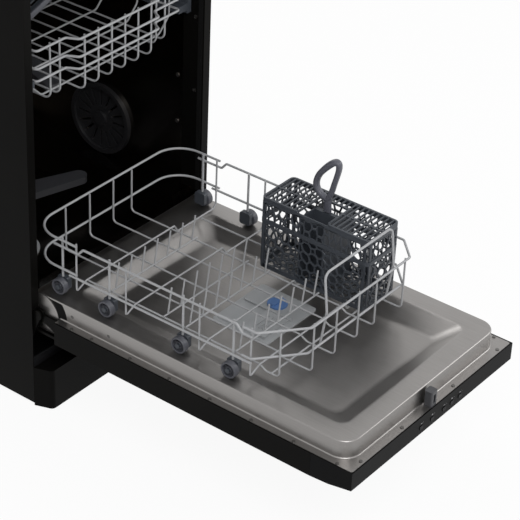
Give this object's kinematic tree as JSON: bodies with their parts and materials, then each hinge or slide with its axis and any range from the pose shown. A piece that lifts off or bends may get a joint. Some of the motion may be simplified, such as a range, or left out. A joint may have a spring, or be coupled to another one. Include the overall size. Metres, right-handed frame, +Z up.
{
  "type": "slimline dishwasher",
  "caption": "Free-standing slimline dishwasher with its door down, a wheeled lower basket on the door, a cutlery basket and a sliding upper basket.",
  "frame": {"origin": "middle of the width, in the plane of the cabinet's front, on the floor", "axes": "+Z up, +Y from the front to the rear, +X to the right as seen from the front"},
  "size_m": [0.448, 1.199, 0.85],
  "materials": {
    "black_paint": "satin black enamel",
    "black_plastic": "smooth black",
    "black_rubber": "matte",
    "galvanised_steel": "zinc",
    "grey_plastic": "fine grain",
    "dark_grey_plastic": "fine grain",
    "slate_plastic": "fine grain",
    "stainless": "brushed",
    "wire_coat": "grey nylon coat",
    "blue_plastic": "matte",
    "board_green": "lacquer",
    "button_black": "gloss",
    "foot_plastic": "matte"
  },
  "bodies": {
    "cabinet": {"base_tray": "grey_plastic", "circulation_pump": "dark_grey_plastic", "door_latch": "black_plastic", "door_seal": "black_rubber", "drain_pump": "grey_plastic", "feed_pipe": "grey_plastic", "front_frame": "black_paint", "hinge_brackets": "galvanised_steel", "hinge_covers": "stainless", "hinge_springs": "galvanised_steel", "inlet_valve": "grey_plastic", "plinth": "black_paint", "rear_panel": "galvanised_steel", "side_panel_left": "black_paint", "side_panel_right": "black_paint", "sump": "grey_plastic", "terminal_box": "black_plastic", "tub": "stainless", "tub_screws": "stainless", "upper_rails": "stainless", "vent_cap": "grey_plastic", "water_softener": "grey_plastic", "worktop": "black_plastic"},
    "door": {"door_outer_panel": "black_paint", "control_fascia": "black_plastic", "door_liner": "stainless", "hinge_arms": "galvanised_steel", "hinge_gaiters": "black_rubber", "door_strike": "black_plastic", "dispenser_body": "grey_plastic", "control_board": "board_green", "liner_screws": "stainless"},
    "lower_basket": {"lower_basket": "wire_coat", "wheel_brackets": "dark_grey_plastic"},
    "cutlery_basket": {"cutlery_basket": "dark_grey_plastic", "cutlery_handle": "slate_plastic"},
    "upper_basket": {"upper_basket": "wire_coat", "basket_runners": "dark_grey_plastic", "upper_feed_tube": "grey_plastic"},
    "filter": {"filter": "grey_plastic"},
    "salt_cap": {"salt_cap": "grey_plastic"},
    "lower_spray_arm": {"lower_spray_arm": "grey_plastic"},
    "dispenser_lid": {"dispenser_lid": "grey_plastic"},
    "rinse_aid_cap": {"rinse_aid_cap": "blue_plastic"},
    "cutlery_lid": {"cutlery_lid": "dark_grey_plastic"},
    "upper_spray_arm": {"upper_spray_arm": "grey_plastic"},
    "cup_shelf": {"cup_shelf": "dark_grey_plastic"},
    "button_1": {"button_1": "button_black"},
    "button_2": {"button_2": "button_black"},
    "button_3": {"button_3": "button_black"},
    "button_4": {"button_4": "button_black"},
    "button_5": {"button_5": "button_black"},
    "wheel_pair_1": {"wheel_pair_1": "slate_plastic"},
    "wheel_pair_2": {"wheel_pair_2": "slate_plastic"},
    "wheel_pair_3": {"wheel_pair_3": "slate_plastic"},
    "wheel_pair_4": {"wheel_pair_4": "slate_plastic"},
    "levelling_foot_front_left": {"levelling_foot_front_left": "foot_plastic"},
    "levelling_foot_front_right": {"levelling_foot_front_right": "foot_plastic"},
    "levelling_foot_rear_left": {"levelling_foot_rear_left": "foot_plastic"},
    "levelling_foot_rear_right": {"levelling_foot_rear_right": "foot_plastic"}
  },
  "joints": [
    {"name": "door_hinge", "type": "hinge", "parent": "cabinet", "child": "door", "pos_m": [0, -0.0066, 0.1824], "axis": [-1, 0, 0], "range_deg": [0, 45]},
    {"name": "lower_basket_slide", "type": "slide", "parent": "door", "child": "lower_basket", "axis": [0, -1, 0], "range_m": [-0.488, 0]},
    {"name": "cutlery_basket_lift", "type": "slide", "parent": "lower_basket", "child": "cutlery_basket", "axis": [0, 0, -1], "range_m": [-0.15, 0]},
    {"name": "cutlery_lid_hinge", "type": "hinge", "parent": "cutlery_basket", "child": "cutlery_lid", "pos_m": [0.165, -0.3365, 0.3618], "axis": [0, 1, 0], "range_deg": [0, 95]},
    {"name": "upper_basket_slide", "type": "slide", "parent": "cabinet", "child": "upper_basket", "axis": [0, 1, 0], "range_m": [-0.36, 0]},
    {"name": "upper_arm_spin", "type": "hinge", "parent": "upper_basket", "child": "upper_spray_arm", "pos_m": [0, 0.25, 0.5], "axis": [0, 0, 1], "continuous": true},
    {"name": "cup_shelf_fold", "type": "hinge", "parent": "upper_basket", "child": "cup_shelf", "pos_m": [-0.174, 0.188, 0.66], "axis": [0, -1, 0], "range_deg": [-12, 62]},
    {"name": "lower_arm_spin", "type": "hinge", "parent": "cabinet", "child": "lower_spray_arm", "pos_m": [0, 0.262, 0.2], "axis": [0, 0, 1], "continuous": true},
    {"name": "filter_twist", "type": "hinge", "parent": "cabinet", "child": "filter", "pos_m": [-0.062, 0.2, 0.15], "axis": [0, 0, 1], "range_deg": [0, 90]},
    {"name": "salt_cap_twist", "type": "hinge", "parent": "cabinet", "child": "salt_cap", "pos_m": [-0.115, 0.395, 0.16], "axis": [0, 0, 1], "range_deg": [0, 450]},
    {"name": "dispenser_lid_slide", "type": "slide", "parent": "door", "child": "dispenser_lid", "axis": [0, 1, 0], "range_m": [0, 0.044]},
    {"name": "rinse_aid_cap_twist", "type": "hinge", "parent": "door", "child": "rinse_aid_cap", "pos_m": [0.044, -0.298, 0.202], "axis": [0, 0, 1], "range_deg": [0, 90]},
    {"name": "button_1_press", "type": "slide", "parent": "door", "child": "button_1", "axis": [0, 1, 0], "range_m": [0, 0.001], "stiffness_N_per_m": 800, "springref_m": -0.0006},
    {"name": "button_2_press", "type": "slide", "parent": "door", "child": "button_2", "axis": [0, 1, 0], "range_m": [0, 0.001], "stiffness_N_per_m": 800, "springref_m": -0.0006},
    {"name": "button_3_press", "type": "slide", "parent": "door", "child": "button_3", "axis": [0, 1, 0], "range_m": [0, 0.001], "stiffness_N_per_m": 800, "springref_m": -0.0006},
    {"name": "button_4_press", "type": "slide", "parent": "door", "child": "button_4", "axis": [0, 1, 0], "range_m": [0, 0.001], "stiffness_N_per_m": 800, "springref_m": -0.0006},
    {"name": "button_5_press", "type": "slide", "parent": "door", "child": "button_5", "axis": [0, 1, 0], "range_m": [0, 0.001], "stiffness_N_per_m": 800, "springref_m": -0.0006},
    {"name": "wheel_pair_1_roll", "type": "hinge", "parent": "lower_basket", "child": "wheel_pair_1", "pos_m": [0, -0.028, 0.2331], "axis": [1, 0, 0], "range_deg": [-2000, 2000]},
    {"name": "wheel_pair_2_roll", "type": "hinge", "parent": "lower_basket", "child": "wheel_pair_2", "pos_m": [0, -0.128, 0.2331], "axis": [1, 0, 0], "range_deg": [-2000, 2000]},
    {"name": "wheel_pair_3_roll", "type": "hinge", "parent": "lower_basket", "child": "wheel_pair_3", "pos_m": [0, -0.28, 0.2331], "axis": [1, 0, 0], "range_deg": [-2000, 2000]},
    {"name": "wheel_pair_4_roll", "type": "hinge", "parent": "lower_basket", "child": "wheel_pair_4", "pos_m": [0, -0.38, 0.2331], "axis": [1, 0, 0], "range_deg": [-2000, 2000]},
    {"name": "foot_front_left_turn", "type": "hinge", "parent": "cabinet", "child": "levelling_foot_front_left", "pos_m": [-0.188, 0.048, 0.02], "axis": [0, 0, 1], "continuous": true},
    {"name": "foot_front_right_turn", "type": "hinge", "parent": "cabinet", "child": "levelling_foot_front_right", "pos_m": [0.188, 0.048, 0.02], "axis": [0, 0, 1], "continuous": true},
    {"name": "foot_rear_left_turn", "type": "hinge", "parent": "cabinet", "child": "levelling_foot_rear_left", "pos_m": [-0.188, 0.515, 0.02], "axis": [0, 0, 1], "continuous": true},
    {"name": "foot_rear_right_turn", "type": "hinge", "parent": "cabinet", "child": "levelling_foot_rear_right", "pos_m": [0.188, 0.515, 0.02], "axis": [0, 0, 1], "continuous": true}
  ],
  "couplings": [
    {"joint": "wheel_pair_1_roll", "follows": "lower_basket_slide", "rad_per_m": 68.966},
    {"joint": "wheel_pair_2_roll", "follows": "lower_basket_slide", "rad_per_m": 68.966},
    {"joint": "wheel_pair_3_roll", "follows": "lower_basket_slide", "rad_per_m": 68.966},
    {"joint": "wheel_pair_4_roll", "follows": "lower_basket_slide", "rad_per_m": 68.966}
  ]
}
